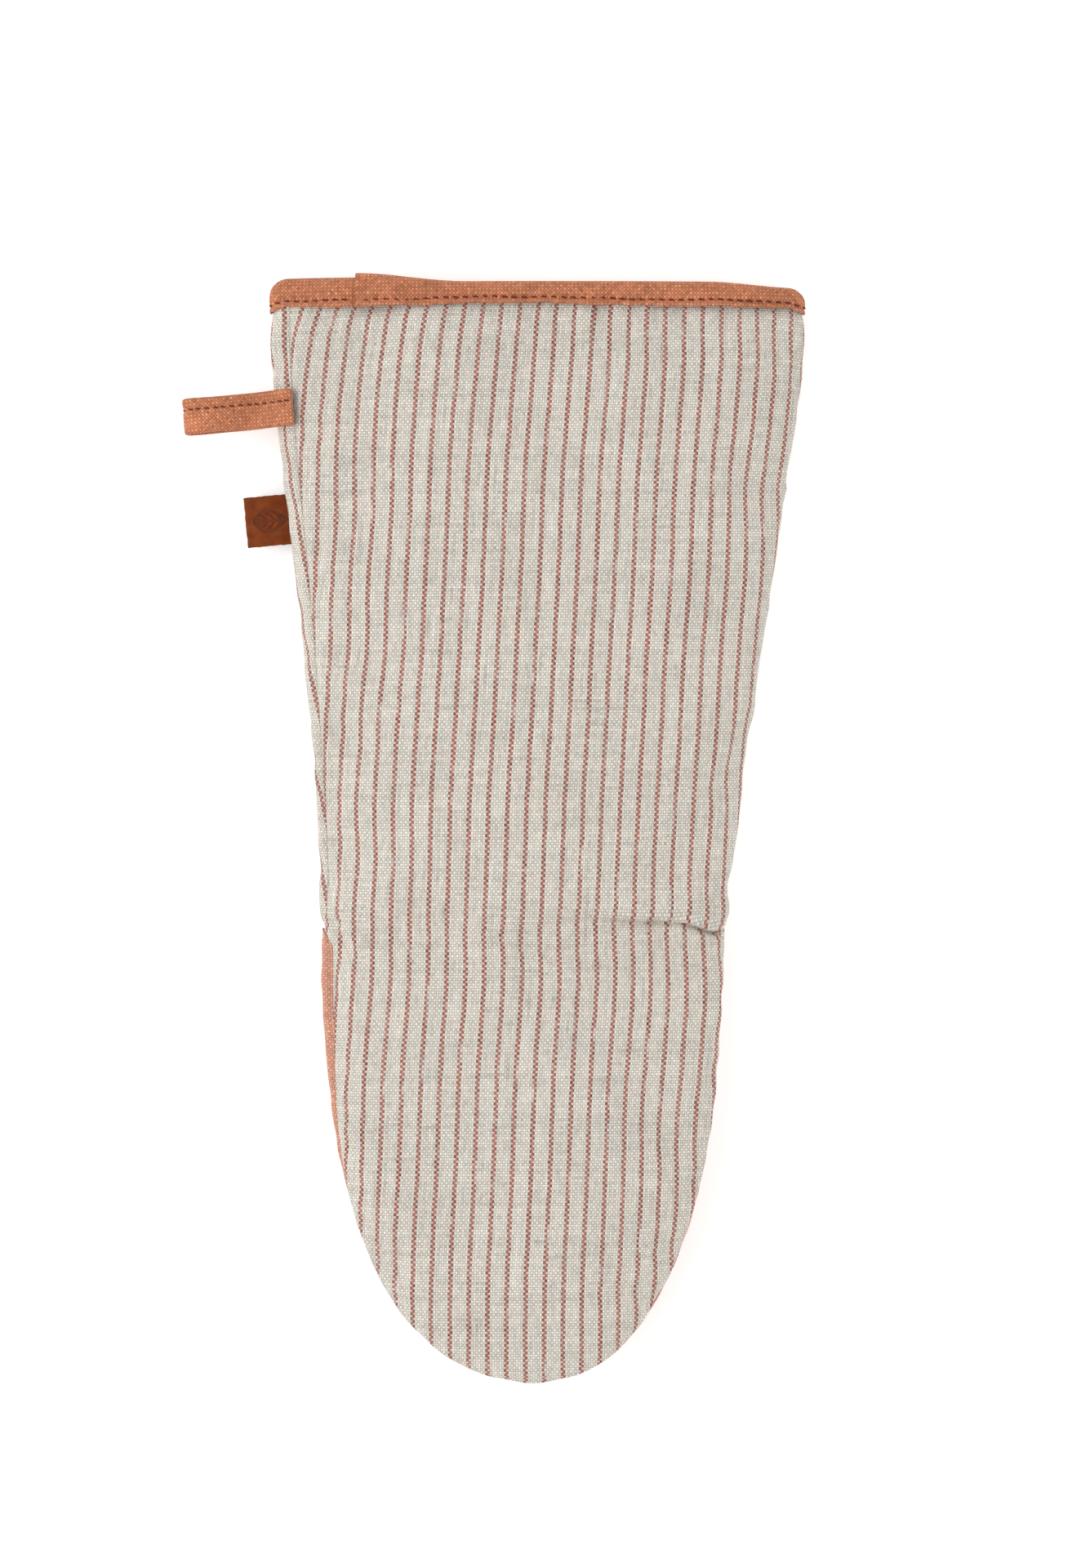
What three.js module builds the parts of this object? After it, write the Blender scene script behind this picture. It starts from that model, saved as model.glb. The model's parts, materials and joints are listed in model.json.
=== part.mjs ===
// Oven mitt of the mouth kind, lying flat: cuff towards +Y, fingers towards -Y, millimetres, +Z up.
// The origin is the middle of the bounding box's underside.
// Each padded wall is three layers, cover, wadding and lining, and every layer is a closed half-shell.
import * as THREE from "three";

// Driving dimensions
const LENGTH = 340;
const CUFF_END_Y = LENGTH / 2;
const TIP_Y = -LENGTH / 2;
const CUFF_HALF_WIDTH = 80.3;
const CUFF_CENTRE_X = 13.6;
const FOLD_HALF_WIDTH = 61.7;
const FOLD_CENTRE_X = 9.2;
const FOLD_Y = -31;
const HEIGHT = 28;
const CUFF_HEIGHT = 18.4;
const CUFF_LIFT = 2;
const MOUTH_GAP = 0.8;
const THUMB_SHORTER = 20;
const THUMB_NARROWER = 2;

// Layers of a padded wall, from the outside in
const GAP = 0.3;
const COVER = 0.6;
const WADDING = 2;
const LINING = 0.5;
const WALL = COVER + GAP + WADDING + GAP + LINING;

// Room that the walls leave for the two folds, measured from the fold line
const WALL_ROOM = 7.5;
const SEAM_ROOM = 3;
const GRIP_ROOM = 1.5;

// Trim
const TAPE = 0.9;
const THREAD = 0.3;
const THREAD_WIDTH = 0.5;
const BINDING_WIDTH = 8.5;
const STITCH_INSET = 2;
const TRIM_TILT = THREE.MathUtils.degToRad(4.7);
const LOOP_WIDTH = 11;
const LOOP_LENGTH = 27.2;
const LOOP_ROOT = new THREE.Vector3(-67.55, 128.4, 10.6);
const TAG_LENGTH = 16.6;
const TAG_WIDTH = 15.5;
const TAG_THICKNESS = 1.4;
const TAG_ROOT = new THREE.Vector3(-59.2, 95.6, 5);

const COLUMNS = 11;
const CUFF_ROWS = 6;
const POCKET_ROWS = 7;
const SECTION_POWER = 2.5;
const FLAT_SHARE = 0.45;

const { lerp } = THREE.MathUtils;

const FINISHES = {
  striped_linen: { color: 0xcebfb5, roughness: 0.95, metalness: 0 },
  terracotta_linen: { color: 0xb87553, roughness: 0.92, metalness: 0 },
  wadding: { color: 0xf1eee6, roughness: 1, metalness: 0 },
  lining: { color: 0xddd5c6, roughness: 0.95, metalness: 0 },
  leather: { color: 0x783d1e, roughness: 0.55, metalness: 0 },
  thread: { color: 0xb06a4a, roughness: 0.7, metalness: 0 },
};

function piece(name, finish, geometry) {
  const mesh = new THREE.Mesh(geometry, new THREE.MeshStandardMaterial(FINISHES[finish]));
  mesh.name = name;
  return mesh;
}

// Six times the signed volume of an indexed closed surface
function signedVolume(points, index) {
  let sum = 0;
  const cross = new THREE.Vector3();
  for (let i = 0; i < index.length; i += 3) {
    cross.crossVectors(points[index[i + 1]], points[index[i + 2]]);
    sum += points[index[i]].dot(cross);
  }
  return sum;
}

// A closed surface from points and quads, turned to face outwards
function closedSurface(points, quads) {
  const index = quads.flatMap(([a, b, c, d]) => [a, b, c, a, c, d]);
  if (signedVolume(points, index) < 0) index.reverse();
  const geometry = new THREE.BufferGeometry().setFromPoints(points);
  geometry.setIndex(index);
  geometry.computeVertexNormals();
  return geometry;
}

// The solid between an outer and an inner grid of points, closed along its four rims
function shellBetween(outer, inner) {
  const rows = outer.length;
  const columns = outer[0].length;
  const out = (i, j) => i * columns + j;
  const into = (i, j) => out(i, j) + rows * columns;
  const quads = [];
  for (let i = 0; i + 1 < rows; i++) {
    for (let j = 0; j + 1 < columns; j++) {
      quads.push([out(i, j), out(i, j + 1), out(i + 1, j + 1), out(i + 1, j)]);
      quads.push([into(i, j), into(i + 1, j), into(i + 1, j + 1), into(i, j + 1)]);
    }
    const last = columns - 1;
    quads.push([out(i, 0), out(i + 1, 0), into(i + 1, 0), into(i, 0)]);
    quads.push([out(i, last), into(i, last), into(i + 1, last), out(i + 1, last)]);
  }
  for (let j = 0; j + 1 < columns; j++) {
    const last = rows - 1;
    quads.push([out(0, j), into(0, j), into(0, j + 1), out(0, j + 1)]);
    quads.push([out(last, j), out(last, j + 1), into(last, j + 1), into(last, j)]);
  }
  return closedSurface([...outer.flat(), ...inner.flat()], quads);
}

// A closed ring: the same profile at every station, joined to the next station round the ring
function ringOf(stations) {
  const points = stations.flat();
  const around = stations.length;
  const across = stations[0].length;
  const at = (i, j) => (i % around) * across + (j % across);
  const quads = [];
  for (let i = 0; i < around; i++) {
    for (let j = 0; j < across; j++) {
      quads.push([at(i, j), at(i, j + 1), at(i + 1, j + 1), at(i + 1, j)]);
    }
  }
  return closedSurface(points, quads);
}

// Positions across a section, from one seam (-1) to the other (1), closest together at the seams
const ACROSS = Array.from({ length: COLUMNS + 1 }, (_, j) => -Math.cos((Math.PI * j) / COLUMNS));

// Height of a section above its seams, from 0 at a seam to 1; a flat share stays at 1 round the middle
function crown(across, flat) {
  const out = Math.max(0, (Math.abs(across) - flat) / (1 - flat));
  return Math.max(0, 1 - out ** SECTION_POWER) ** (1 / SECTION_POWER);
}

// The section of the cuff at y: centre, half-width, seam height and half-height
// The cuff widens evenly from the fold, then runs almost straight near its edge
function cuffSection(y) {
  const along = (y - FOLD_Y) / (CUFF_END_Y - FOLD_Y);
  const halfHeight = lerp(HEIGHT, CUFF_HEIGHT, along) / 2;
  const flare = along * (1 + 1.7 * along ** 3 * (1 - along));
  return {
    centre: lerp(FOLD_CENTRE_X, CUFF_CENTRE_X, 1 - (1 - along) ** 2),
    halfWidth: lerp(FOLD_HALF_WIDTH, CUFF_HALF_WIDTH, flare),
    seamZ: halfHeight + CUFF_LIFT * along,
    halfHeight,
  };
}

// A point of a section's upper (side 1) or lower (side -1) wall, a depth inside its outer face
function onSection(section, y, side, flat, across, depth) {
  const rise = GAP / 2 + (section.halfHeight - GAP / 2 - depth) * crown(across, flat);
  return new THREE.Vector3(
    section.centre + across * (section.halfWidth - depth),
    y,
    section.seamZ + side * rise,
  );
}

// The outer walls stand back from the fold most at their crowns, which a fold swings the furthest
const wallRoom = (across, flat) => lerp(SEAM_ROOM, WALL_ROOM, crown(across, flat));
const gripRoom = () => GRIP_ROOM;

// The cuff's walls run in even rows from the fold to the binding's lower edge, then one more
// under the binding
function cuffGrid(side, flat, depth) {
  const bindingLow = CUFF_END_Y - BINDING_WIDTH;
  const end = CUFF_END_Y - TAPE - GAP;
  const rows = Array.from({ length: CUFF_ROWS + 1 }, (_, i) =>
    ACROSS.map((across) => {
      const y = lerp(FOLD_Y + wallRoom(across, flat), bindingLow, i / CUFF_ROWS);
      return onSection(cuffSection(y), y, side, flat, across, depth);
    }),
  );
  rows.push(ACROSS.map((across) => onSection(cuffSection(end), end, side, flat, across, depth)));
  return rows;
}

// The rounded outlines of a pocket: the share of its width and of its height left at a share of its length
const widthLeft = (along) => (1 - Math.min(along, 0.99) ** 2.7) ** (1 / 2.2);
const heightLeft = (along) => (1 - along ** 4) ** (1 / 2);

// A pocket runs from the fold line to its tip, which each deeper layer stops short of
function pocketGrid(pocket, side, flat, roomAt, depth) {
  return Array.from({ length: POCKET_ROWS + 1 }, (_, i) =>
    ACROSS.map((across) => {
      const start = roomAt(across, flat) / pocket.length;
      const along = lerp(start, 1, Math.sin((Math.PI / 2) * (i / POCKET_ROWS)));
      const height = (pocket.halfHeight - GAP / 2 - depth) * heightLeft(along);
      return new THREE.Vector3(
        FOLD_CENTRE_X + pocket.tipShift * along ** 4 + across * (pocket.halfWidth * widthLeft(along) - depth),
        FOLD_Y - along * (pocket.length - depth),
        pocket.seamZ + side * (GAP / 2 + height * crown(across, flat)),
      );
    }),
  );
}

const pocketHalfHeight = (HEIGHT - MOUTH_GAP) / 4;
const fingers = {
  length: FOLD_Y - TIP_Y,
  halfWidth: FOLD_HALF_WIDTH,
  tipShift: 3,
  halfHeight: pocketHalfHeight,
  seamZ: HEIGHT - pocketHalfHeight,
};
const thumb = {
  length: FOLD_Y - TIP_Y - THUMB_SHORTER,
  halfWidth: FOLD_HALF_WIDTH - THUMB_NARROWER,
  tipShift: 2,
  halfHeight: pocketHalfHeight,
  seamZ: pocketHalfHeight,
};

// Cover, wadding and lining of one wall; gridAt gives the wall's points at a depth inside its outer face
function paddedWall(wall, part, coverFinish, gridAt) {
  const layers = [
    ["cover", coverFinish, COVER],
    ["wadding", "wadding", WADDING],
    ["lining", "lining", LINING],
  ];
  let depth = 0;
  return layers.map(([layer, finish, thickness]) => {
    const shell = shellBetween(gridAt(depth), gridAt(depth + thickness));
    depth += thickness + GAP;
    return piece(`${wall}_${layer}_${part}`, finish, shell);
  });
}

// The tape folded over the cuff's edge: a U-shaped profile carried round the opening
function cuffRing(profile) {
  const upper = ACROSS.map((across) => [1, across, 0]);
  const lower = [...ACROSS].reverse().map((across) => [-1, across, FLAT_SHARE]);
  return ringOf(
    [...upper, ...lower].map(([side, across, flat]) =>
      profile.map(([depth, y]) => onSection(cuffSection(y), y, side, flat, across, depth)),
    ),
  );
}

function cuffBinding() {
  const low = CUFF_END_Y - BINDING_WIDTH;
  const inner = WALL + GAP;
  const under = CUFF_END_Y - TAPE;
  const bend = TAPE / 2;
  return cuffRing([
    [-GAP - TAPE, low],
    [-GAP - TAPE, CUFF_END_Y - bend],
    [-GAP - bend, CUFF_END_Y],
    [inner + bend, CUFF_END_Y],
    [inner + TAPE, CUFF_END_Y - bend],
    [inner + TAPE, low],
    [inner, low],
    [inner, under],
    [-GAP, under],
    [-GAP, low],
  ]);
}

function bindingThread() {
  const low = CUFF_END_Y - BINDING_WIDTH + STITCH_INSET;
  const near = -GAP - TAPE - GAP;
  return cuffRing([
    [near, low],
    [near, low + THREAD_WIDTH],
    [near - THREAD, low + THREAD_WIDTH],
    [near - THREAD, low],
  ]);
}

// The loop's side view: out along one leg, round the nose and back, both ends at the root
const loopPath = new THREE.SplineCurve([
  new THREE.Vector2(0, 0.85),
  new THREE.Vector2(6, 1.3),
  new THREE.Vector2(13, 3),
  new THREE.Vector2(20, 3.4),
  new THREE.Vector2(25.5, 2.2),
  new THREE.Vector2(LOOP_LENGTH, 0),
  new THREE.Vector2(25.5, -2.2),
  new THREE.Vector2(20, -3.4),
  new THREE.Vector2(13, -3),
  new THREE.Vector2(6, -1.3),
  new THREE.Vector2(0, -0.85),
]);
const LOOP_STEPS = 36;

// A band of tape along the loop's path, its faces at two distances outside the path
function bandAlongLoop(inside, outside, width) {
  const offset = (step, distance) => {
    const share = step / LOOP_STEPS;
    const along = loopPath.getTangent(share);
    const point = loopPath.getPoint(share);
    return new THREE.Vector2(point.x - along.y * distance, point.y + along.x * distance);
  };
  const steps = Array.from({ length: LOOP_STEPS + 1 }, (_, i) => i);
  const face = steps.map((step) => offset(step, outside));
  const back = steps.map((step) => offset(step, inside)).reverse();
  const band = new THREE.ExtrudeGeometry(new THREE.Shape([...face, ...back]), {
    depth: width,
    bevelEnabled: false,
    steps: 1,
  });
  // The side view's x runs away from the mitt, along -X, and its y is up
  band.translate(0, 0, -width / 2);
  band.rotateX(Math.PI / 2);
  band.rotateZ(Math.PI);
  return band;
}

// Trim stands out of the left edge, tilted a little towards the fingers
function trimAt(root, ...meshes) {
  const group = new THREE.Group();
  group.position.copy(root);
  group.rotation.z = TRIM_TILT;
  group.add(...meshes);
  return group;
}

function hangingLoop() {
  const tape = bandAlongLoop(-TAPE * 0.6, TAPE * 0.6, LOOP_WIDTH);
  const near = TAPE * 0.6 + GAP;
  const stitches = bandAlongLoop(near, near + THREAD, THREAD_WIDTH);
  stitches.translate(0, LOOP_WIDTH / 2 - STITCH_INSET * 1.7, 0);
  return trimAt(
    LOOP_ROOT,
    piece("hanging_loop", "terracotta_linen", tape),
    piece("loop_thread", "thread", stitches),
  );
}

function leatherTag() {
  const leather = new THREE.BoxGeometry(TAG_LENGTH, TAG_WIDTH, TAG_THICKNESS);
  leather.translate(-TAG_LENGTH / 2, 0, 0);
  const stitches = new THREE.BoxGeometry(THREAD_WIDTH, TAG_WIDTH - 2 * STITCH_INSET, THREAD);
  stitches.translate(-STITCH_INSET, 0, -TAG_THICKNESS / 2 - GAP - THREAD / 2);
  return trimAt(
    TAG_ROOT,
    piece("leather_tag", "leather", leather),
    piece("tag_thread", "thread", stitches),
  );
}

const mitt = new THREE.Group();
mitt.add(
  ...paddedWall("back", "cuff", "striped_linen", (depth) => cuffGrid(1, 0, depth)),
  ...paddedWall("front", "cuff", "striped_linen", (depth) => cuffGrid(-1, FLAT_SHARE, depth)),
  ...paddedWall("back", "fingers", "striped_linen", (depth) => pocketGrid(fingers, 1, 0, wallRoom, depth)),
  ...paddedWall("grip", "fingers", "terracotta_linen", (depth) =>
    pocketGrid(fingers, -1, FLAT_SHARE, gripRoom, depth),
  ),
  ...paddedWall("grip", "thumb", "terracotta_linen", (depth) =>
    pocketGrid(thumb, 1, FLAT_SHARE, gripRoom, depth),
  ),
  ...paddedWall("front", "thumb", "striped_linen", (depth) =>
    pocketGrid(thumb, -1, FLAT_SHARE, wallRoom, depth),
  ),
  piece("cuff_binding", "terracotta_linen", cuffBinding()),
  piece("binding_thread", "thread", bindingThread()),
  hangingLoop(),
  leatherTag(),
);

export default mitt;
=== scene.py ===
"""A striped linen oven mitt lying flat, with its cuff binding, hanging loop and leather tag."""
import json
import math
from collections import namedtuple
from functools import reduce

import bmesh
import bpy
import numpy as np
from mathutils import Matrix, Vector


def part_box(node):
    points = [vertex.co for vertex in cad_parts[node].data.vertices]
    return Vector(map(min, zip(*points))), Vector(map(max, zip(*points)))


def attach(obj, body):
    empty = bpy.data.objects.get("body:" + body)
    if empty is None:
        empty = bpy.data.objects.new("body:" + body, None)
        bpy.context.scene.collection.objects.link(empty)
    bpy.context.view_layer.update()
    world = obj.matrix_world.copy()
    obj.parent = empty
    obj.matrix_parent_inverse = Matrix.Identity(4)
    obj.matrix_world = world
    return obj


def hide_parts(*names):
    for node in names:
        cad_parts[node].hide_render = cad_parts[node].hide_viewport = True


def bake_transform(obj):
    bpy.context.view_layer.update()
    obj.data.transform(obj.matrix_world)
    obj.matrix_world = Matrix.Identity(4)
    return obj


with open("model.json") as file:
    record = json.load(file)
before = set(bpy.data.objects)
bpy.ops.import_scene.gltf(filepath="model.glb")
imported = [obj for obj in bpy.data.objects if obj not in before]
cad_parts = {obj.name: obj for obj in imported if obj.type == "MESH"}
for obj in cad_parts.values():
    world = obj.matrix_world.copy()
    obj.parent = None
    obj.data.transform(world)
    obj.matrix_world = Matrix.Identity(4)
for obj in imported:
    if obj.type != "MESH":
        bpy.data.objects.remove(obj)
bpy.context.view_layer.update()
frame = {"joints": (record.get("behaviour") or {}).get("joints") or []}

# ---------------------------------------------------------------- driving dimensions, in millimetres
MM = 0.001
JOINTS = {joint["name"]: joint for joint in frame["joints"]}
FOLD = np.array(JOINTS["finger_fold"]["pos_m"]) / MM
FOLD_Y, FOLD_Z = FOLD[1], FOLD[2]
CUFF_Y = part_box("cuff_binding")[1][1] / MM
FINGER_LENGTH = FOLD_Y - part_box("back_cover_fingers")[0][1] / MM
THUMB_LENGTH = FOLD_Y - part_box("front_cover_thumb")[0][1] / MM
HEIGHT = 2 * FOLD_Z
FOLD_HALF, FOLD_CENTRE = 61.6, 9.6       # half-width and middle x at the fold
CUFF_HALF, CUFF_CENTRE = 81.5, 13.9      # and at the cuff's mouth
CUFF_LOW, CUFF_HIGH = 2.0, 20.2          # lowest and highest z of the mouth
THUMB_HALF = 59.6
SEAM_RISE = 6.8          # how far the pockets' edges part from the fold's height
FOLD_ROLL = 1.2          # how far the right seam lies under the edge at the fold

PITCH = 5.72             # from stripe to stripe
COVER, WADDING, LINING = 0.5, 2.0, 0.5   # thickness of each layer
UNDER_BINDING = CUFF_Y - 5.5             # where the panels end under the binding
UP = np.array([0, 0, 1.0])


def lerp(a, b, t):
    return a + (b - a) * t


def smooth(t):
    t = np.clip(t, 0, 1)
    return t * t * (3 - 2 * t)


def bell(t):
    """1 where t is 0, falling smoothly to 0 on both sides."""
    return np.exp(-(t**2))


def unit(vectors):
    """The same directions, of length 1."""
    return vectors / np.linalg.norm(vectors, axis=-1, keepdims=True)


def distances(x, z):
    """How far each point of a line is from its start, measured along the line."""
    return np.concatenate([[0], np.cumsum(np.hypot(np.diff(x), np.diff(z)))])


def hump(x, y, at, size, turn):
    """1 at a point, falling to 0 over size = (along, across)."""
    c, s = math.cos(math.radians(turn)), math.sin(math.radians(turn))
    along = (x - at[0]) * c + (y - at[1]) * s
    across = (y - at[1]) * c - (x - at[0]) * s
    return np.exp(-((along / size[0]) ** 2) - (across / size[1]) ** 2)


def waves(x, y, length, count, seed):
    """Gentle random waves of about that length, from -1 to 1."""
    rng = np.random.default_rng(seed)
    total = 0
    for _ in range(count):
        turn, shift = rng.uniform(0, math.pi), rng.uniform(0, 2 * math.pi)
        k = 2 * math.pi / (length * rng.uniform(0.75, 1.35))
        total = total + np.sin(k * (x * math.cos(turn) + y * math.sin(turn)) + shift)
    return total / math.sqrt(2 * count)


def leftwards(degrees):
    """Directions of a flat piece that points left, turned a little down: along it and across it."""
    c, s = math.cos(math.radians(degrees)), math.sin(math.radians(degrees))
    return np.array([-c, -s, 0]), np.array([-s, c, 0])


# ---------------------------------------------------------------- the mitt's cross-sections
class Section(namedtuple("Section", "centre half low seam high round_high round_low")):
    """A padded section across the mitt: its middle, half-width, lowest, seam and highest z, and roundness."""

    def at(self, angle):
        """x and z at angles that run from the right edge (0) over the top to the left edge (pi)."""
        cos, sin = np.cos(angle), np.sin(angle)
        upper = sin >= 0
        power = 2 / np.where(upper, self.round_high, self.round_low)
        rise = np.where(upper, self.high - self.seam, self.seam - self.low)
        x = self.centre + self.half * np.sign(cos) * np.abs(cos) ** power
        return x, self.seam + rise * np.sign(sin) * np.abs(sin) ** power

    def inboard(self, distance):
        """The angle between the edge and a point on the top that far inside it."""
        share = np.clip(1 - distance / self.half, 0, 1)
        return math.acos(share ** (self.round_high / 2))


def cuff_section(y):
    a = np.clip((y - FOLD_Y) / (CUFF_Y - FOLD_Y), 0, 1)
    half = lerp(FOLD_HALF, CUFF_HALF, a * (1 + (1.5 * a**3 + 0.08) * (1 - a)))
    centre = lerp(FOLD_CENTRE, CUFF_CENTRE, 1 - (1 - a) ** 2)
    left_bulge = 1.1 * bell((y - FOLD_Y - 7) / 6.5) * smooth((y - FOLD_Y) / 3)
    right_bulge = 0.6 * bell((y - 36) / 7) + 0.6 * bell((y - 138) / 16)
    half, centre = half + (left_bulge + right_bulge) / 2, centre + (right_bulge - left_bulge) / 2
    low, high = CUFF_LOW * a**1.5, lerp(HEIGHT, CUFF_HIGH, a**1.15)
    return Section(centre, half, low, (low + high) / 2, high,
                   lerp(1.85, 2.35, smooth(2 * a)), lerp(1.9, 2.7, smooth(3 * a)))


def pocket_shape(y, length):
    """How far past the fold, what share of the pocket that is, and the pocket's width and thickness there."""
    past = np.clip(FOLD_Y - y, 0, length)
    along = past / length
    return past, along, max((1 - along**2.7) ** (1 / 2.2), 0.006), max(math.sqrt(1 - along**4), 0.03)


def finger_section(y):
    past, along, width, thick = pocket_shape(y, FINGER_LENGTH)
    seam = FOLD_Z + SEAM_RISE * smooth(past / 26) - 2.5 * along**5
    floor = FOLD_Z + 0.4 * smooth(past / 6)
    half = FOLD_HALF * (1 - 0.012 * smooth(past / 50)) * width
    return Section(FOLD_CENTRE + 2.9 * along**9, half,
                   seam - max(seam - floor, 0.02) * thick, seam,
                   seam + (HEIGHT - 2.5 * along**5 - seam) * thick,
                   lerp(1.85, 2.2, smooth(past / 30)), lerp(2, 2.6, smooth(past / 30)))


def thumb_section(y):
    past, along, width, thick = pocket_shape(y, THUMB_LENGTH)
    seam = FOLD_Z - (SEAM_RISE + 0.4) * smooth(past / 26) - 3 * along**6
    roof = FOLD_Z - 0.4 * smooth(past / 6)
    return Section(FOLD_CENTRE + 2.9 * along**9, lerp(FOLD_HALF, THUMB_HALF, smooth(past / 15)) * width,
                   seam - seam * thick, seam, seam + max(roof - seam, 0.02) * thick,
                   lerp(2, 2.6, smooth(past / 30)), lerp(1.9, 2.4, smooth(past / 30)))


def seam_angles(section, left, right):
    """The angles of the left seam, rolled onto the top, and of the right seam, rolled underneath."""
    return math.pi - section.inboard(left), -section.inboard(right)


def cuff_seams(y):
    a = (y - FOLD_Y) / (CUFF_Y - FOLD_Y)
    roll, begun = 2.2 + 3.8 * a, smooth((y - FOLD_Y) / 7)
    return seam_angles(cuff_section(y), roll * begun, lerp(FOLD_ROLL, roll, begun))


def finger_seams(y):
    past = FOLD_Y - y
    roll = 2.8 * (1 - smooth((past - 22) / 58))
    right = lerp(FOLD_ROLL, 0.6 * roll, smooth(past / 16))
    return seam_angles(finger_section(y), roll * smooth(past / 6), right)


def thumb_seams(y):
    return seam_angles(thumb_section(y), 0.0, FOLD_ROLL * (1 - smooth((FOLD_Y - y) / 9)))


# ---------------------------------------------------------------- grids of points
def crowded(count):
    """Numbers from 0 to 1 that lie closer together at both ends."""
    t = np.linspace(0, 1, count)
    return t - 0.7 * np.sin(2 * math.pi * t) / (2 * math.pi)


def cuff_rows(count):
    """y from under the binding down to the fold, closer together near the fold."""
    return FOLD_Y + (UNDER_BINDING - FOLD_Y) * (1 - np.linspace(0, 1, count)) ** 1.25


def pocket_rows(count, length):
    """y from the fold to the pocket's tip, closer together at both ends."""
    return FOLD_Y - length * np.sin(math.pi / 2 * np.linspace(0, 1, count) ** 1.25)


def strip(y, section, start, end, spread):
    """A row of points on a section between two angles, spread by length, and their distances along it."""
    x, z = section.at(np.linspace(start, end, 700))
    run = distances(x, z)
    at = spread * run[-1]
    return np.stack([np.interp(at, run, x), np.full(len(at), y), np.interp(at, run, z)], axis=1), at


class Panel:
    """A cloth panel as a grid of points, with the distance of each from its left seam."""

    def __init__(self, rows, facing_up):
        self.points = np.array([row for row, _ in rows])
        self.x, self.y = self.points[..., 0], self.points[..., 1]
        self.run = np.array([run for _, run in rows])
        self.up = facing_up

    def normals(self, points=None):
        p = self.points if points is None else points
        n = np.cross(np.gradient(p, axis=1), np.gradient(p, axis=0))
        n /= np.maximum(np.linalg.norm(n, axis=2, keepdims=True), 1e-12)
        middle = n[n.shape[0] // 3, n.shape[1] // 2, 2]
        return n * (1 if (middle > 0) == self.up else -1)

    def from_seams(self):
        """Distance of each point from the nearest seam: the two sides and the pocket's tip."""
        return np.minimum(np.minimum(self.run, self.run[:, -1:] - self.run), self.from_tip())

    def from_tip(self):
        return self.y - self.y[-1, 0]

    def room(self):
        """1 where the panel is wide, falling to 0 where its rows run out at the tip."""
        return smooth(self.run[:, -1:] / 24)

    def cut(self, inset=0.0, start=0.0, end=0.0):
        """The flat piece of cloth that the panel is cut from, in metres: its width, length and area."""
        y = self.y[:, 0]
        kept = (y <= y[0] - start) & (y >= y[-1] + end)
        widths, y = self.run[kept, -1] - 2 * inset, y[kept]
        area = np.sum((widths[1:] + widths[:-1]) / 2 * -np.diff(y))
        return widths.max() * MM, (y[0] - y[-1]) * MM, area * MM**2


POCKETS = {"fingers": (finger_section, finger_seams, FINGER_LENGTH),
           "thumb": (thumb_section, thumb_seams, THUMB_LENGTH)}


def cloth_panel(pocket, over, columns, pocket_count, cuff_count=0):
    """A panel from seam to seam, over the top or underneath, along a pocket and, if asked, the cuff."""
    section, seams, length = POCKETS[pocket]
    parts = [(cuff_section, cuff_seams, cuff_rows(cuff_count)[:-1])] if cuff_count else []
    parts.append((section, seams, pocket_rows(pocket_count, length)))
    spread, rows = crowded(columns), []
    for section, seams, heights in parts:
        for y in heights:
            left, right = seams(y)
            rows.append(strip(y, section(y), left, right if over else 2 * math.pi + right, spread))
    return Panel(rows, over)


# ---------------------------------------------------------------- relief of the cloth
def seam_groove(panel):
    """Where two panels are sewn together the cloth dips inwards, less so at the fold's corners."""
    deep = 1 - 0.85 * bell((panel.y - FOLD_Y) / 4)
    return -deep * panel.room() * bell(panel.from_seams() / 1.5)


def puckers(panel, seed):
    """Small puckers that the side stitching draws in the cloth."""
    off = panel.from_seams()
    near = bell((off - 3) / 4.5) * smooth(off / 1.5)
    return 0.28 * panel.room() * waves(panel.y, 0 * panel.y, 9, 3, seed) * near


def padding_waves(panel, seed):
    """The uneven padding under the cloth: broad swells with smaller ones on them."""
    broad = 0.55 * waves(panel.x, panel.y, 52, 5, seed)
    small = 0.14 * waves(panel.x, 0.6 * panel.y, 17, 6, seed + 1)
    return smooth(panel.from_seams() / 14) * (broad + small)


def crease_line(panel):
    """y of the crease on the right of the fold, and how deep it is there, from 0 to 1."""
    line = FOLD_Y + 2.8 - 3.6 * smooth((panel.x - 55) / 16)
    return line, smooth((panel.x - 16) / 42) * smooth((panel.run[:, -1:] - panel.run) / 4.5)


def crease_lip(panel):
    """How far the cloth above the crease hangs down over it."""
    line, right = crease_line(panel)
    return 1.7 * right * bell((panel.y - line - 1.8) / 1.3)


def fold_crease(panel):
    """The cloth dips along the fold, creases at its right end and bulges over the crease."""
    y = panel.y
    line, right = crease_line(panel)
    crease = -2.9 * right * bell((y - line) / 1.4)
    bulge = 1.3 * right * bell((y - line - 5.5) / 4.5)
    across = -0.35 * bell((y - FOLD_Y - 1) / 5)
    return crease + bulge + across


ROLLS = ((122, 11), (71, 13), (6, 12))   # y and half-length of the soft rolls across the back
DENTS = (                                # height, place, size and turn of its small dents and bumps
    (-1.5, (-48.0, FOLD_Y + 1.6), (4.2, 1.6), 0),
    (0.4, (-42.0, FOLD_Y - 1.6), (7.0, 2.4), -48),
    (-0.6, (-44.0, FOLD_Y - 4.6), (5.0, 1.6), -48),
    (-0.7, (49.5, -145), (6, 2.6), 50),
    (-0.7, (54.5, -128), (6, 2.6), 35),
)


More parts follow.
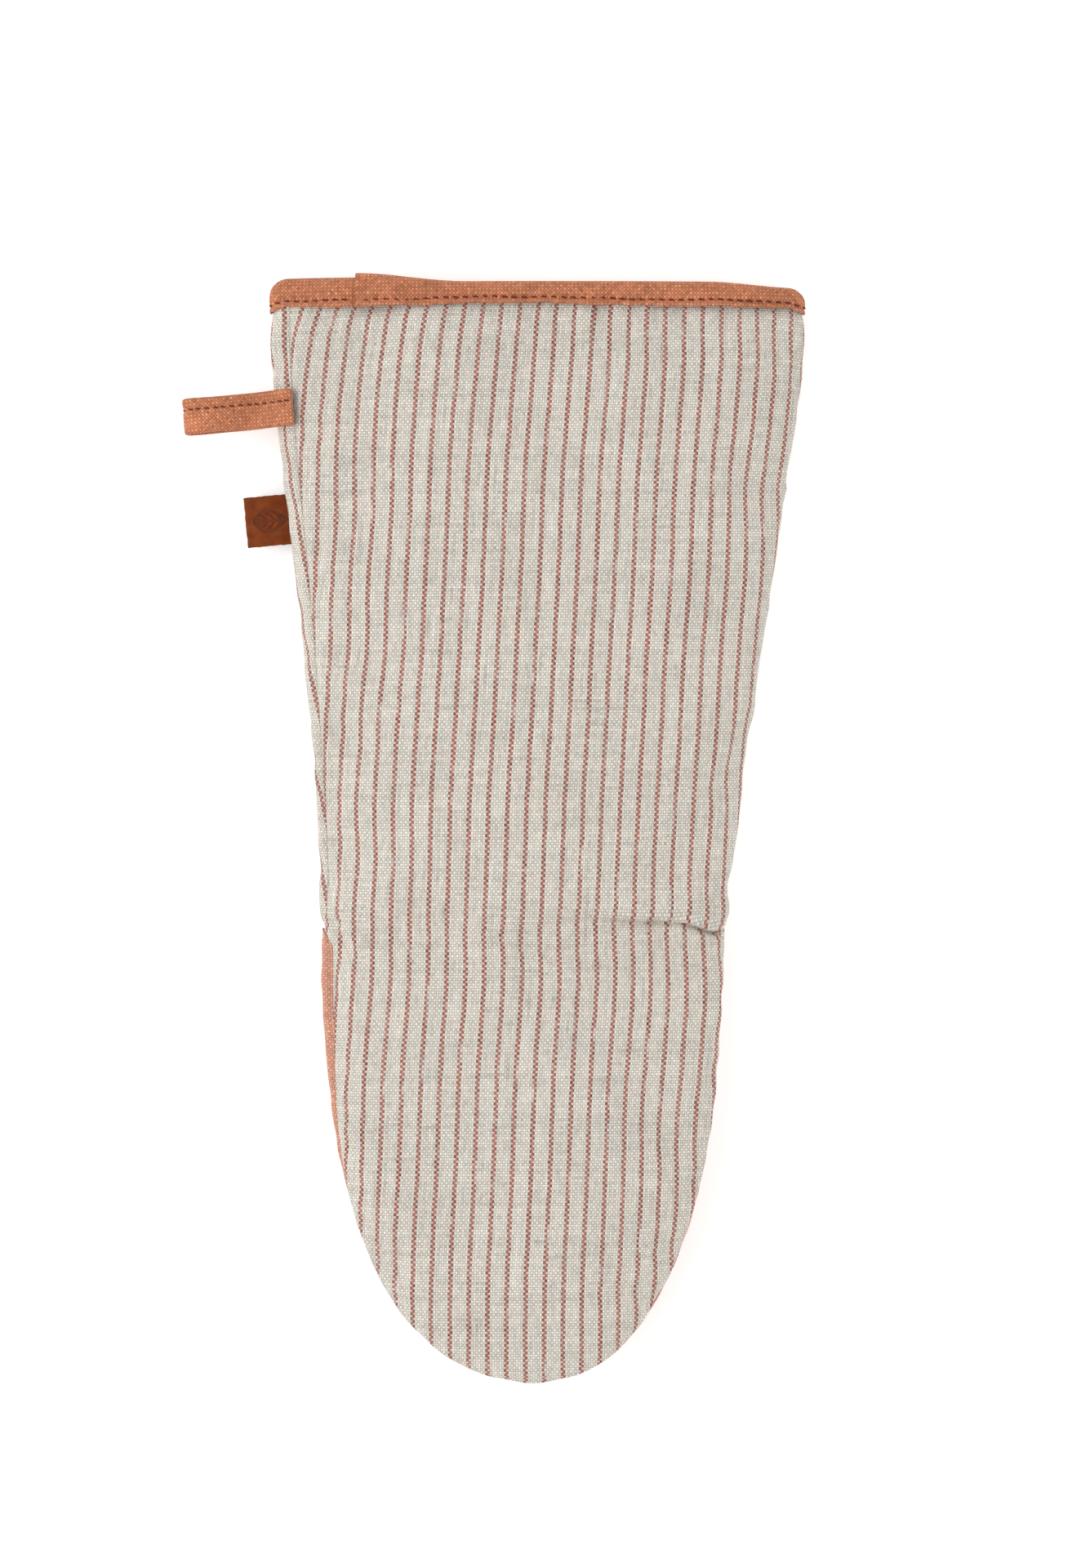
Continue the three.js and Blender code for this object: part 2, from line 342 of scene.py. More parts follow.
def back_relief(panel):
    """The back's seams, rolls and dents, the gathers under the binding and the crease at the fold."""
    x, y = panel.x, panel.y
    fade = smooth(panel.from_seams() / 10)
    rolls = 0.55 * sum(bell((y - at) / half) for at, half in ROLLS)
    gathers = 0.8 * np.sin(2 * math.pi * x / 8.5 + 1.5 * np.sin(x / 9)) * bell((x - 36) / 24)
    gathers = gathers * smooth((y - 143) / 12)
    gathers = gathers - 1.5 * bell((x - 33.5 - (160 - y) * 0.05) / 1.7) * smooth((y - 140) / 12)
    pulled = -1.4 * smooth((y - 154) / 7) * fade
    dents = sum(height * hump(x, y, at, size, turn) for height, at, size, turn in DENTS)
    return (seam_groove(panel) + puckers(panel, 3) + padding_waves(panel, 11)
            + fade * (rolls + gathers) + pulled + dents + fold_crease(panel))


def front_relief(panel):
    fold_roll = -0.8 * bell((panel.y - FOLD_Y) / 5)
    pulled = -0.8 * smooth((panel.y - 152) / 8) * smooth(panel.from_seams() / 10)
    return seam_groove(panel) + puckers(panel, 7) + 0.5 * padding_waves(panel, 23) + fold_roll + pulled


def grip_relief(panel, seed):
    return seam_groove(panel) + puckers(panel, seed) + 0.4 * padding_waves(panel, seed)


# ---------------------------------------------------------------- the cloth settling over its padding
def between(fine, coarse):
    """The matrix that spreads values at coarse indices over fine ones."""
    return np.array([np.interp(fine, coarse, one) for one in np.eye(len(coarse))]).T


def every_second(count):
    """Every second index, and the last one."""
    return np.unique(np.append(np.arange(0, count, 2), count - 1))


def softly(moved, most):
    """The same movements, none of them longer than most."""
    length = np.maximum(np.linalg.norm(moved, axis=-1, keepdims=True), 1e-9)
    return moved / length * most * np.tanh(length / most)


SETTLE_FRAMES = 20


def settled(panel, relief, slack, pressure, most):
    """The panel's shape once its cloth, a little slack and sewn at the edges, has settled."""
    shape = panel.points + panel.normals() * relief[..., None]
    i, j = every_second(shape.shape[0]), every_second(shape.shape[1])
    start = shape[np.ix_(i, j)]
    rows, columns = start.shape[:2]
    faces = grid_faces(rows, columns)
    if not panel.up:
        faces = [face[::-1] for face in faces]
    cloth = mesh_object("settling", start.reshape(-1, 3), faces)
    if (cloth.data.polygons[len(faces) // 2 + columns // 2].normal.z > 0) != panel.up:
        cloth.data.flip_normals()
    edge = np.ones((rows, columns), bool)
    edge[2:-3, 2:-2] = False
    cloth.vertex_groups.new(name="sewn").add(np.flatnonzero(edge).tolist(), 1.0, "REPLACE")
    settings = cloth.modifiers.new("Cloth", "CLOTH").settings
    settings.quality, settings.mass, settings.air_damping = 6, 0.2, 5
    settings.tension_stiffness = settings.compression_stiffness = 30
    settings.shear_stiffness, settings.bending_stiffness = 15, 6
    settings.vertex_group_mass, settings.pin_stiffness = "sewn", 5
    settings.shrink_min = -slack
    settings.use_pressure, settings.uniform_pressure_force = True, pressure
    settings.effector_weights.gravity = 0
    scene = bpy.context.scene
    for frame_number in range(1, SETTLE_FRAMES + 1):
        scene.frame_set(frame_number)
    made = cloth.evaluated_get(bpy.context.evaluated_depsgraph_get()).to_mesh()
    end = np.zeros(rows * columns * 3, np.float32)
    made.vertices.foreach_get("co", end)
    scene.frame_set(1)
    bpy.data.objects.remove(cloth)
    moved = softly(end.reshape(rows, columns, 3) / MM - start, most)
    spread = between(np.arange(shape.shape[0]), i) @ moved.reshape(rows, -1)
    spread = spread.reshape(-1, columns, 3).transpose(0, 2, 1) @ between(np.arange(shape.shape[1]), j).T
    return shape + spread.transpose(0, 2, 1) * smooth(panel.from_seams() / 4)[..., None]


# ---------------------------------------------------------------- where the stripes run
def guide_line(y):
    """x of one stripe of the back panel at each y; the others run beside it at equal distances."""
    return 10.3 + 15.4 * (np.clip(y + 162, 0, None) / 316) ** 1.4


def drift(x, y):
    """How far the back panel's stripes wander to the right of straight ones, in millimetres."""
    along = 1.2 * bell((y + 47) / 18) + 0.5 * bell((y + 85) / 30)
    along = along - 0.85 * bell((y - 115) / 30) - 0.2 * smooth(y / 10)
    left = (0.8 + 2.8 * smooth((y - 118) / 36)) * (1 - smooth((x + 48) / 56)) * smooth((y + 15) / 20)
    right = smooth((x - 15) / 45) * (0.6 * smooth((90 - y) / 60) + 0.6 * bell((y + 95) / 40))
    corner = 0.8 * smooth((x - 70) / 20) * smooth((y - 146) / 10)
    return along - left - right - corner


def back_weave(panel):
    """The stripes' own coordinates on the back: across them, measured along the cloth, and along y."""
    x, y = panel.x, panel.y
    middle = np.array([np.interp((row[:, 0].min() + row[:, 0].max()) / 2, row[:row[:, 0].argmax() + 1, 0],
                                 run[:row[:, 0].argmax() + 1]) for row, run in zip(panel.points, panel.run)])
    centre = (x.min(axis=1) + x.max(axis=1)) / 2
    u = panel.run - (middle + guide_line(y[:, 0]) - centre)[:, None]
    u = u + 0.9 * smooth((y - 141) / 13) * smooth((x - 28) / 20)
    u = u + 0.7 * smooth((FOLD_Y + 4 - y) / 5) * smooth((x - 44) / 10) * (1 - smooth((FOLD_Y - 3 - y) / 50))
    u = u - 5.0 * np.clip((y - 122) / 36, 0, None) ** 1.7 * (1 - smooth((x + 64) / 80))
    u = u + 0.16 * waves(x * 0.3, y, 60, 3, 5) - drift(x, y)
    u = u + 0.5 * np.sin(2 * math.pi * x / 8.5) * bell((x - 34) / 18) * smooth((y - 146) / 12)
    return np.stack([u, y], axis=2)


def front_weave(panel):
    """The front panel is cut with its stripes a little off the seam, so they run out under it."""
    y = panel.y
    at_seam = 2.1087 - 0.03645 * y + 0.0001132 * y**2 + 0.5 * smooth((y - 122) / 14)
    return np.stack([panel.run + PITCH * at_seam, y], axis=2)


def plain_weave(panel):
    return np.stack([panel.run - panel.run[:, -1:] / 2, panel.y], axis=2)


# ---------------------------------------------------------------- meshes
def mesh_object(name, points, faces, weave=None, material=None):
    """A smooth mesh from points in millimetres, with the cloth's own coordinates as its UV map."""
    mesh = bpy.data.meshes.new(name)
    mesh.from_pydata((np.asarray(points) * MM).tolist(), [], faces)
    if weave is not None:
        layer = mesh.uv_layers.new(name="weave")
        corner = np.zeros(len(mesh.loops), np.int32)
        mesh.loops.foreach_get("vertex_index", corner)
        layer.data.foreach_set("uv", np.asarray(weave, np.float32)[corner].ravel())
    mesh.materials.append(material)
    mesh.polygons.foreach_set("use_smooth", np.ones(len(mesh.polygons), bool))
    mesh.update()
    made = bpy.data.objects.new(name, mesh)
    bpy.context.scene.collection.objects.link(made)
    return made


def grid_faces(rows, columns, start=0, closed=False):
    """Quads over a grid whose point (row, column) has index start + row * columns + column."""
    faces = []
    for i in range(rows - 1):
        for j in range(columns if closed else columns - 1):
            k = (j + 1) % columns
            faces.append((start + i * columns + j, start + i * columns + k,
                          start + (i + 1) * columns + k, start + (i + 1) * columns + j))
    return faces


def closed_mesh(name, points, faces, weave, material):
    """A mesh without gaps, its faces turned outwards."""
    made = mesh_object(name, points, faces, weave, material)
    work = bmesh.new()
    work.from_mesh(made.data)
    bmesh.ops.recalc_face_normals(work, faces=work.faces)
    work.to_mesh(made.data)
    work.free()
    return made


def shell(name, outer, inner, weave, material):
    """A closed sheet between an outer and an inner grid of the same size."""
    rows, columns = outer.shape[:2]
    count = rows * columns
    index = np.arange(count).reshape(rows, columns)
    ring = np.concatenate([index[0], index[1:, -1], index[-1, -2::-1], index[-2:0:-1, 0]]).tolist()
    back = [face[::-1] for face in grid_faces(rows, columns, count)]
    sides = [(ring[k] + count, ring[k - 1] + count, ring[k - 1], ring[k]) for k in range(len(ring))]
    points = np.concatenate([outer.reshape(-1, 3), inner.reshape(-1, 3)])
    uv = np.concatenate([weave.reshape(-1, 2)] * 2)
    return closed_mesh(name, points, grid_faces(rows, columns) + back + sides, uv, material)


def cover_shell(name, panel, weave, material):
    return shell(name, panel.shape, panel.shape - panel.normals(panel.shape) * COVER, weave, material)


TIP_INSET = 5.0          # how far the hidden layers stop short of the tip
FOLD_CLEAR = 14.0        # how much further from the side seams they stay at the fold, where the cover creases


def inner_layer(name, panel, outer_depth, thickness, material, inset, start):
    """A hidden layer inside a panel, thinner towards the seams, set in from them and from its first row."""
    normals = panel.normals()
    share = crowded(panel.run.shape[1] // 2)
    outer, inner, weave = [], [], []
    for i in range(0, panel.run.shape[0], 2):
        y, from_tip = panel.y[i, 0], panel.from_tip()[i, 0]
        if from_tip < TIP_INSET or panel.y[0, 0] - y < start:
            continue
        run = panel.run[i]
        edge = inset + FOLD_CLEAR * bell((y - FOLD_Y) / 16)
        at = lerp(edge, run[-1] - edge, share)
        point, normal = (np.stack([np.interp(at, run, grid[i, :, k]) for k in range(3)], axis=1)
                         for grid in (panel.shape, normals))
        from_edge = np.minimum(at, run[-1] - at) - edge + inset
        room = smooth(np.minimum(from_edge, from_tip - 2) / 12)[:, None]
        deep = lerp(1.1, outer_depth, room)
        outer.append(point - normal * deep)
        inner.append(point - normal * (deep + lerp(0.25, thickness, room)))
        weave.append(np.stack([at, np.full(len(at), y)], axis=1))
    return shell(name, np.array(outer), np.array(inner), np.array(weave), material)


def tube_faces(count, around, start=0):
    """A tube of count rings, with its first and last ring closed."""
    first = tuple(range(start, start + around))
    last = tuple(range(start + (count - 1) * around, start + count * around))
    return grid_faces(count, around, start, closed=True) + [first, last[::-1]]


def loft(name, rings, weave, material):
    """A closed tube through rings of points."""
    count, around = np.shape(rings)[:2]
    return closed_mesh(name, np.reshape(rings, (-1, 3)), tube_faces(count, around),
                       np.reshape(weave, (-1, 2)), material)


def stitches(name, places, length, width, material):
    """Short plump stitches; each place is a centre, a direction and the way out of the cloth."""
    along, around = 7, 8
    t, angle = np.meshgrid(np.linspace(-1, 1, along),
                           np.linspace(0, 2 * math.pi, around, endpoint=False), indexing="ij")
    body = width / 2 * np.sqrt(np.clip(1 - t**4, 0.02, 1))
    out = 0.22 * (1 - t**2) - 0.12 + body * np.sin(angle)
    local = np.stack([t * length / 2, out, body * np.cos(angle)], axis=2).reshape(-1, 3)
    points = np.concatenate([c + local @ np.array([d, n, np.cross(d, n)]) for c, d, n in places])
    faces = [face for k in range(len(places)) for face in tube_faces(along, around, k * len(local))]
    uv = np.stack([t * length / 2, angle], axis=2).reshape(-1, 2)
    return closed_mesh(name, points, faces, np.tile(uv, (len(places), 1)), material)


# ---------------------------------------------------------------- materials
def linear(colour):
    """A colour given as 8-bit sRGB, in linear light; a node's output is passed on."""
    if isinstance(colour, bpy.types.NodeSocket):
        return colour
    return tuple(c / 255 / 12.92 if c <= 10 else ((c / 255 + 0.055) / 1.055) ** 2.4 for c in colour)


class Shade:
    """A material with its node values written as short sums."""

    def __init__(self, name, roughness=0.9, sheen=0.0, specular=0.25):
        self.material = bpy.data.materials.new(name)
        self.material.use_nodes = True
        self.nodes, self.links = self.material.node_tree.nodes, self.material.node_tree.links
        self.shader = self.nodes["Principled BSDF"]
        self.feed(self.shader, {"Roughness": roughness, "Sheen Weight": sheen, "Sheen Roughness": 0.5,
                                "Specular IOR Level": specular})

    def feed(self, made, values):
        """Gives a node's inputs a link or a value each; a colour's three numbers get an alpha of 1."""
        for key, value in values.items():
            socket = made.inputs[key]
            if isinstance(value, bpy.types.NodeSocket):
                self.links.new(value, socket)
            else:
                socket.default_value = (*value, 1) if socket.type == "RGBA" else value

    def node(self, kind, values, **settings):
        made = self.nodes.new(kind)
        for key, value in settings.items():
            setattr(made, key, value)
        self.feed(made, values)
        return made

    def math(self, operation, a, b=0.0):
        return self.node("ShaderNodeMath", {0: a, 1: b}, operation=operation).outputs[0]

    def add(self, *values):
        return reduce(lambda a, b: self.math("ADD", a, b), values)

    def times(self, *values):
        return reduce(lambda a, b: self.math("MULTIPLY", a, b), values)

    def point(self, x, y):
        return self.node("ShaderNodeCombineXYZ", {0: x, 1: y}).outputs[0]

    def weave_uv(self):
        """The cloth's own coordinates in millimetres."""
        uv = self.node("ShaderNodeUVMap", {}, uv_map="weave").outputs[0]
        parts = self.node("ShaderNodeSeparateXYZ", {0: uv})
        return parts.outputs[0], parts.outputs[1]

    def white(self, x, y):
        return self.node("ShaderNodeTexWhiteNoise", {"Vector": self.point(x, y)},
                         noise_dimensions="3D").outputs["Value"]

    def noise(self, x, y, scale_x, scale_y, detail=2.0):
        at = self.point(self.times(x, scale_x), self.times(y, scale_y))
        return self.node("ShaderNodeTexNoise", {"Vector": at, "Scale": 1.0, "Detail": detail},
                         noise_dimensions="3D").outputs["Fac"]

    def range(self, value, low, high, to_low=0.0, to_high=1.0):
        return self.node("ShaderNodeMapRange", {"Value": value, "From Min": low, "From Max": high,
                                                "To Min": to_low, "To Max": to_high}).outputs[0]

    def span(self, share, low, high):
        return self.range(share, 0.0, 1.0, low, high)

    def chance(self, x, y, low, high):
        """A random number between low and high for each whole x and y."""
        return self.span(self.white(x, y), low, high)

    def streaks(self, x, y, scale_x, scale_y, low, high, most):
        """Noise that counts from low on and reaches most at high."""
        return self.range(self.noise(x, y, scale_x, scale_y), low, high, 0.0, most)

    def mix(self, share, a, b):
        made = self.node("ShaderNodeMix", {0: share, 6: linear(a), 7: linear(b)}, data_type="RGBA")
        return made.outputs[2]

    def scaled(self, colour, share):
        """A colour made brighter or darker by a share."""
        made = self.node("ShaderNodeVectorMath", {0: linear(colour), "Scale": share}, operation="SCALE")
        return made.outputs[0]

    def glow(self, strength):
        self.feed(self.shader, {"Emission Color": (1, 1, 1), "Emission Strength": strength})
        return self

    def finish(self, colour, height=None, depth=0.1, strength=1.0):
        self.feed(self.shader, {"Base Color": colour})
        if height is not None:
            bump = self.node("ShaderNodeBump",
                             {"Height": height, "Strength": strength, "Distance": depth * MM})
            self.feed(self.shader, {"Normal": bump.outputs[0]})
        return self.material


def yarns(m, u, v, warp, weft):
    """A plain weave: each yarn's number, whether the warp lies on top, and the height of the cloth."""
    across, along = m.math("DIVIDE", u, warp), m.math("DIVIDE", v, weft)
    i, j = m.math("FLOOR", across), m.math("FLOOR", along)
    over = m.math("PINGPONG", m.add(i, j), 1.0)
    fu, fv = m.math("FRACT", across), m.math("FRACT", along)
    crown_u, crown_v = m.math("SINE", m.times(fu, math.pi)), m.math("SINE", m.times(fv, math.pi))
    height = m.math("SQRT", m.times(crown_u, crown_v))
    return i, j, over, height


GROUND_WARM, GROUND_COOL = (230, 219, 206), (221, 218, 208)
YARN, WEFT = PITCH / 8, 0.8      # from one yarn to the next, across the stripes and along them
STRIPE_HALF = 0.58               # a stripe is two red yarns wide


def striped_linen():
    m = Shade("striped_linen", roughness=0.92, sheen=0.08)
    u, v = m.weave_uv()
    row = m.math("FLOOR", m.math("DIVIDE", v, WEFT))
    jitter = m.chance(row, 4.4, -0.06, 0.06)
    sway = m.range(m.noise(u, v, 0.2, 0.1), 0.3, 0.7, -0.1, 0.1)
    across = m.add(u, sway, jitter)
    i, j, over, height = yarns(m, across, v, YARN, WEFT)
    cell = m.white(i, j)
    slow = m.noise(i, v, 3.7, 0.16)
    cross_slow = m.noise(u, j, 0.1, 4.3)
    patch = m.noise(u, v, 0.06, 0.05, 3.0)
    yarn_tone = m.add(m.times(slow, 0.34), m.times(cross_slow, 0.26),
                      m.times(m.white(i, 7.3), 0.08), m.times(m.white(3.1, j), 0.08))
    tone = m.add(0.295, yarn_tone, m.times(cell, 0.18), m.times(patch, 0.2), m.times(over, 0.24))
    # painted shade: the colour darkens where the yarns dip between their crowns
    tone = m.times(tone, m.span(height, 0.6, 1.12))
    hue = m.range(m.noise(i, v, 1.9, 0.35), 0.35, 0.65)
    ground = m.mix(hue, GROUND_WARM, GROUND_COOL)

    zigzag = m.span(m.math("PINGPONG", j, 1.0), -0.13, 0.13)
    beside = m.math("DIVIDE", m.add(across, zigzag, PITCH / 2), PITCH)
    stripe = m.math("FLOOR", beside)
    off = m.times(m.add(m.math("FRACT", beside), -0.5), PITCH)
    in_stripe = m.range(m.math("ABSOLUTE", off), STRIPE_HALF - 0.05, STRIPE_HALF + 0.05, 1.0, 0.0)
    on_top = m.math("PINGPONG", m.add(j, m.math("GREATER_THAN", off, 0.0)), 1.0)
    strength = m.times(m.range(m.noise(stripe, v, 7.1, 0.05), 0.3, 0.7, 0.76, 1.0),
                       m.chance(j, stripe, 0.78, 1.0))
    dark = m.add(m.times(m.noise(stripe, v, 5.1, 0.22), 0.7), m.times(cell, 0.3))
    red = m.mix(m.range(dark, 0.3, 0.7), (122, 48, 42), (170, 90, 76))
    ground = m.mix(m.times(in_stripe, 0.75), ground, (206, 150, 134))
    colour = m.mix(m.times(in_stripe, m.span(on_top, 0.25, 1.0), strength), ground, red)

    grey = m.math("MAXIMUM", m.streaks(i, v, 2.3, 0.05, 0.6, 0.76, 0.4),
                  m.streaks(u, j, 0.04, 2.9, 0.6, 0.76, 0.4))
    pale = m.math("MAXIMUM", m.streaks(i, v, 3.3, 0.07, 0.62, 0.73, 0.6),
                  m.streaks(u, j, 0.06, 3.7, 0.62, 0.76, 0.4))
    speck = m.range(m.white(m.add(i, 0.5), m.add(j, 0.5)), 0.98, 1.0, 0.0, 0.35)
    loose = m.times(m.range(m.math("ABSOLUTE", m.add(u, 15.9)), 0.15, 0.5, 1.0, 0.0),
                    m.range(m.math("ABSOLUTE", m.add(v, 17.0)), 4.5, 7.0, 0.9, 0.0))
    colour = m.mix(grey, colour, (168, 160, 148))
    colour = m.mix(m.math("MAXIMUM", pale, loose), colour, (240, 236, 230))
    colour = m.mix(speck, colour, (150, 138, 126))
    return m.finish(m.scaled(colour, tone), height, 0.22, 0.9)


def terracotta_linen(name, turn, pitch, tint, pale, deep):
    m = Shade(name, roughness=0.9, sheen=0.1)
    u, v = m.weave_uv()
    c, s = math.cos(math.radians(turn)), math.sin(math.radians(turn))
    a, b = m.add(m.times(u, c), m.times(v, s)), m.add(m.times(v, c), m.times(u, -s))
    i, j, over, height = yarns(m, a, b, pitch, pitch)
    bright = m.times(m.streaks(i, b, 2.7, 0.8, 0.5, 0.72, 0.45), over)
    cross = m.times(m.streaks(j, a, 3.1, 0.8, 0.52, 0.75, 0.5), m.math("SUBTRACT", 1.0, over))
    colour = m.mix(m.add(bright, cross), tint, pale)
    colour = m.mix(m.range(m.white(i, j), 0.55, 1.0, 0.0, 0.45), colour, deep)
    patch = m.noise(u, v, 0.05, 0.09, 3.0)
    # the height term in tone is painted shade: darker where the yarns dip between their crowns
    tone = m.times(m.range(patch, 0.3, 0.7, 0.93, 1.09), m.span(height, 0.6, 1.14),
                   m.chance(j, i, 0.88, 1.12), m.span(over, 0.87, 1.12),
                   m.chance(i, 2.2, 0.9, 1.1), m.chance(5.5, j, 0.93, 1.07))
    return m.finish(m.scaled(colour, tone), height, 0.22, 0.8)


def lining_cloth():
    m = Shade("lining", roughness=0.92, sheen=0.05)
    u, v = m.weave_uv()
    i, j, _, height = yarns(m, u, v, 0.5, 0.5)
    # the height term in tone is painted shade: darker where the yarns dip between their crowns
    tone = m.times(m.chance(i, j, 0.92, 1.04), m.span(height, 0.85, 1.03))
    colour = m.mix(m.noise(u, v, 0.05, 0.05), (226, 219, 207), (214, 205, 190))
    return m.finish(m.scaled(colour, tone), height, 0.1, 0.5)


def wadding_fleece():
    m = Shade("wadding", roughness=1.0, sheen=0.2)
    u, v = m.weave_uv()
    fluff = m.noise(u, v, 0.9, 0.9, 6.0)
    return m.finish(m.mix(fluff, (224, 221, 214), (246, 244, 239)), fluff, 0.6, 0.8)


def tag_leather():
    m = Shade("leather", roughness=0.7, specular=0.15)
    u, v = m.weave_uv()
    cells = m.node("ShaderNodeTexVoronoi", {"Vector": m.point(u, v), "Scale": 2.6},
                   feature="DISTANCE_TO_EDGE")
    pores = m.range(cells.outputs["Distance"], 0.0, 0.16)
    blotch = m.noise(u, v, 0.22, 0.3, 4.0)
    colour = m.mix(m.range(blotch, 0.3, 0.7), (108, 46, 12), (136, 66, 26))
    fine = m.noise(u, v, 5.0, 5.0, 3.0)
    tone = m.times(m.span(pores, 0.92, 1.0), m.range(fine, 0.3, 0.7, 0.93, 1.06))
    return m.finish(m.scaled(colour, tone), m.add(pores, m.times(fine, 0.6)), 0.05, 0.5)


def fibrous_leather(name, dark, light):
    m = Shade(name, roughness=0.8)
    u, v = m.weave_uv()
    fibre = m.noise(u, v, 3.0, 3.0, 4.0)
    return m.finish(m.mix(fibre, dark, light), fibre, 0.1, 0.6)


def sewing_thread(name, colour):
    m = Shade(name, roughness=0.75, sheen=0.1)
    u, v = m.weave_uv()
    ply = m.math("SINE", m.add(m.times(u, 9.0), m.times(v, 2.0)))
    # painted shade: the colour darkens in the grooves between the thread's plies, which also shape its bump
    tone = m.range(ply, -1, 1, 0.82, 1.06)
    return m.finish(m.scaled(colour, tone), ply, 0.04, 0.6)


STRIPED = striped_linen()
GRIP = terracotta_linen("grip_linen", 0.0, 0.8, (222, 162, 138), (240, 190, 168), (192, 128, 106))
TAPE = terracotta_linen("bias_tape", 45.0, 0.8, (201, 127, 91), (228, 164, 126), (163, 90, 56))
LINING_CLOTH = lining_cloth()
FLEECE = wadding_fleece()
LEATHER = tag_leather()
LEATHER_EDGE = fibrous_leather("leather_edge", (58, 24, 10), (92, 44, 20))
LEATHER_PRESSED = fibrous_leather("leather_pressed", (100, 50, 25), (122, 66, 38))
TAPE_THREAD = sewing_thread("tape_thread", (112, 42, 24))
TAG_THREAD = sewing_thread("tag_sewing_thread", (120, 70, 44))


def put(made, nodes):
    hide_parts(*nodes)
    return made


def follow(made, side, pocket):
    """The back and the front are baked in place as built; each half of the grip rides on its pocket."""
    if side == "grip":
        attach(made, pocket)
    else:
        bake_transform(made)


def cloth_sheet(made, panel, held, over, *set_in):
    width, length, area = panel.cut(*set_in)


back = cloth_panel("fingers", over=True, columns=96, pocket_count=100, cuff_count=110)
front = cloth_panel("thumb", over=False, columns=96, pocket_count=80, cuff_count=90)
grip_fingers = cloth_panel("fingers", over=False, columns=84, pocket_count=90)
grip_thumb = cloth_panel("thumb", over=True, columns=84, pocket_count=80)

back.shape = settled(back, back_relief(back), slack=0.012, pressure=1.5, most=1.5)
front.shape = settled(front, front_relief(front), slack=0.008, pressure=1.0, most=1.0)
for grip, seed in ((grip_fingers, 31), (grip_thumb, 37)):
    grip.shape = settled(grip, grip_relief(grip, seed), slack=0.006, pressure=0.6, most=0.5)
back.shape[..., 1] -= crease_lip(back)
grip_fingers.shape[..., 1] += 1.4 * np.exp(-grip_fingers.from_tip() / 1.5)
front.shape[..., 2] = np.maximum(front.shape[..., 2], 0.05)

PANELS = (
    # side, cover, panel, weave, material, ends of its nodes' names, pocket
    ("back", "back_cover", back, back_weave, STRIPED, ("cuff", "fingers"), "finger_pocket"),
    ("front", "front_cover", front, front_weave, STRIPED, ("cuff", "thumb"), "thumb_pocket"),
    ("grip", "finger_grip", grip_fingers, plain_weave, GRIP, ("fingers",), "finger_pocket"),
    ("grip", "thumb_grip", grip_thumb, plain_weave, GRIP, ("thumb",), "thumb_pocket"),
)
covers = {}
for side, name, panel, weave, material, ends, pocket in PANELS:
    covers[name] = cover_shell(name, panel, weave(panel), material)
    slot = "terracotta_linen" if side == "grip" else "striped_linen"
    follow(put(covers[name], [f"{side}_cover_{end}" for end in ends]), side, pocket)

for side, name, panel, _, _, ends, pocket in PANELS:
    thin, inset, start = (0.8, 6.0, 12.0) if side == "grip" else (1.0, 3.0, 0.0)
    label = f"{side}_{ends[0]}" if side == "grip" else side
    pad = inner_layer(label + "_pad", panel, 1.2 * thin, WADDING * thin, FLEECE, inset, start)
    put(pad, [f"{side}_wadding_{end}" for end in ends])
    inside = inner_layer(label + "_inside", panel, (1.4 + WADDING) * thin, LINING, LINING_CLOTH, inset, start)
    put(inside, [f"{side}_lining_{end}" for end in ends])
    follow(pad, side, pocket)
    follow(inside, side, pocket)
    cloth_sheet(covers[name], panel, "stretched", [pad])
    cloth_sheet(inside, panel, "laid", [pad], inset, start, TIP_INSET)

# ---------------------------------------------------------------- the binding round the mouth
STITCH_STEP = 3.0
OVERLAP_LIFT = 1.9       # how far the tape's folded end stands above its start
STITCH_UP = 2.1          # from the tape's lower edge to its stitching
TAPE_CLOTH = 0.55        # thickness of the tape
OVERLAP_FROM, OVERLAP_TO = -42.0, -30.0  # x of the tape's folded end and of its hidden start
MOUTH = cuff_section(CUFF_Y - 6)


def top_angle(x):
    """The angle at which the mouth's upper side has that x."""
    share = (x - MOUTH.centre) / MOUTH.half
    return math.acos(math.copysign(abs(share) ** (MOUTH.round_high / 2), share))


def mouth_stations(step):
    """Angles round the mouth from the tape's hidden start, leftwards, to its folded end over the start."""
    angles = np.linspace(top_angle(OVERLAP_TO), 2 * math.pi + top_angle(OVERLAP_FROM), 6000)
    x, z = MOUTH.at(angles)
    run = distances(x, z)
    at = np.arange(0, run[-1], step)
    return np.interp(at, run, angles), at, run[-1]


def across_mouth(angle):
    """Unit directions along the mouth's outline and out of it."""
    x, z = MOUTH.at(np.array([angle - 0.004, angle + 0.004]))
    tangent = unit(np.array([x[1] - x[0], 0, z[1] - z[0]]))
    return tangent, np.array([tangent[2], 0, -tangent[0]])


def rim_heights(angle, run, total):
    """Lower and upper edge of the tape as y."""
    x = MOUTH.at(angle)[0]
    corner = np.clip((4.5 - (MOUTH.half - abs(x - MOUTH.centre))) / 4.5, 0, 1)
    drop = 1.5 * smooth((x - 66) / 26) + 3.2 * (1 - math.sqrt(1 - corner**2))
    climb = 2.6 * smooth(1 - (total - run) / 34)
    left_part = 1.3 * smooth(-(x + 8) / 26) if run < total / 2 else 0
    upper = 167.2 + left_part + climb if math.sin(angle) > 0 else 167.6
    lower = 159.9 - 0.9 * smooth((-x - 20) / 40) - 1.0 * smooth((x - 35) / 40) - 1.3 * corner
    lower += 0.35 * math.sin(x / 11 + 1) - 0.5 * smooth((run - total + 12) / 12)
    return float(lower), float(upper - drop)


def stitch_height(run):
    """How far above the tape's lower edge its stitching runs, a little unevenly."""
    return STITCH_UP + 0.22 * math.sin(run / 6.1) + 0.14 * math.sin(run / 2.7 + 1)


def lifted(run, total):
    """How far the tape's folded end stands out over its start."""
    return OVERLAP_LIFT * float(smooth((run - total + 18) / 7))


